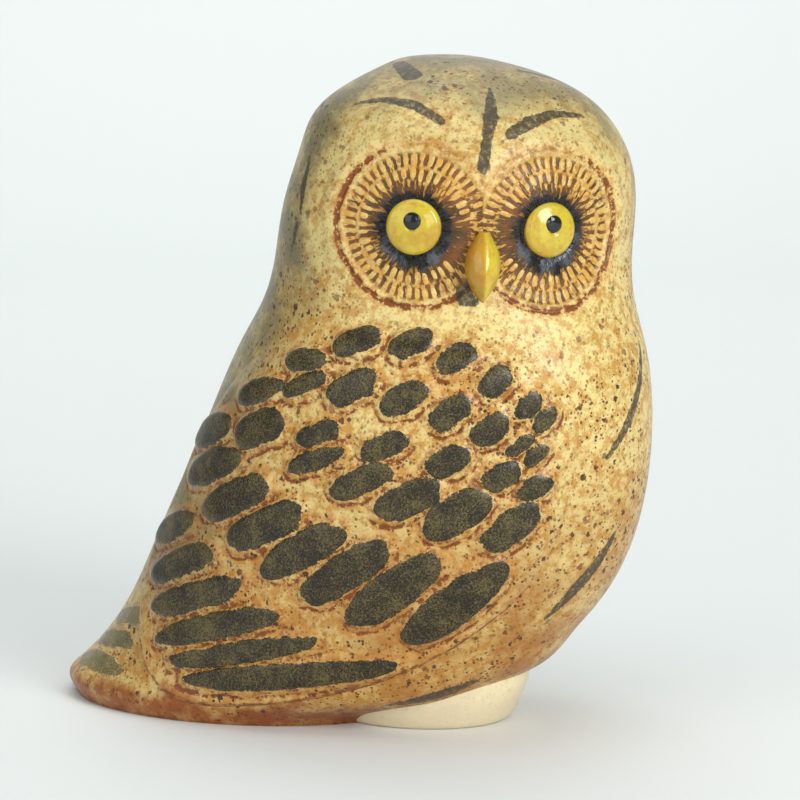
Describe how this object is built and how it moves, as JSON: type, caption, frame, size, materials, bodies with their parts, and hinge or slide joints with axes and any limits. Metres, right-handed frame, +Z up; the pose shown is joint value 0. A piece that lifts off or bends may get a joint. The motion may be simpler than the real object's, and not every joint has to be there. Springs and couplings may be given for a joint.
{
  "type": "owl_figurine",
  "caption": "Glazed stoneware owl figurine, head turned over its right shoulder, with dark slip feathers, round facial discs, yellow eyes and a yellow beak.",
  "frame": {"origin": "on the table plane, on the flat sole, in the owl's middle plane and below the root of the wing", "axes": "+X is the way the breast faces, +Y is the owl's left side, +Z is up"},
  "size_m": [0.1874, 0.1052, 0.2001],
  "materials": {
    "clay_glaze": "cream to tan glaze with iron specks, semi-gloss",
    "foot_glaze": "pale cream glaze",
    "dark_slip": "dark iron slip with pale flecks under a clear glaze",
    "green_wash": "thin grey-green slip wash",
    "disc_glaze": "cream glaze with rust and brown pooled in the hatching",
    "yellow_glaze": "glossy opaque yellow glaze",
    "black_glaze": "glossy black glaze"
  },
  "bodies": {
    "root": {"body_shell": "clay_glaze", "foot": "foot_glaze", "right_wing": "clay_glaze", "right_scapulars": "dark_slip", "right_lesser_coverts": "dark_slip", "right_median_coverts": "dark_slip", "right_greater_coverts": "dark_slip", "right_secondaries": "dark_slip", "right_primaries": "dark_slip", "right_tail_feathers": "green_wash", "left_wing": "clay_glaze", "left_scapulars": "dark_slip", "left_lesser_coverts": "dark_slip", "left_median_coverts": "dark_slip", "left_greater_coverts": "dark_slip", "left_secondaries": "dark_slip", "left_primaries": "dark_slip", "left_tail_feathers": "green_wash", "right_facial_disc": "disc_glaze", "right_eye": "yellow_glaze", "right_pupil": "black_glaze", "left_facial_disc": "disc_glaze", "left_eye": "yellow_glaze", "left_pupil": "black_glaze", "beak": "yellow_glaze"}
  },
  "joints": []
}
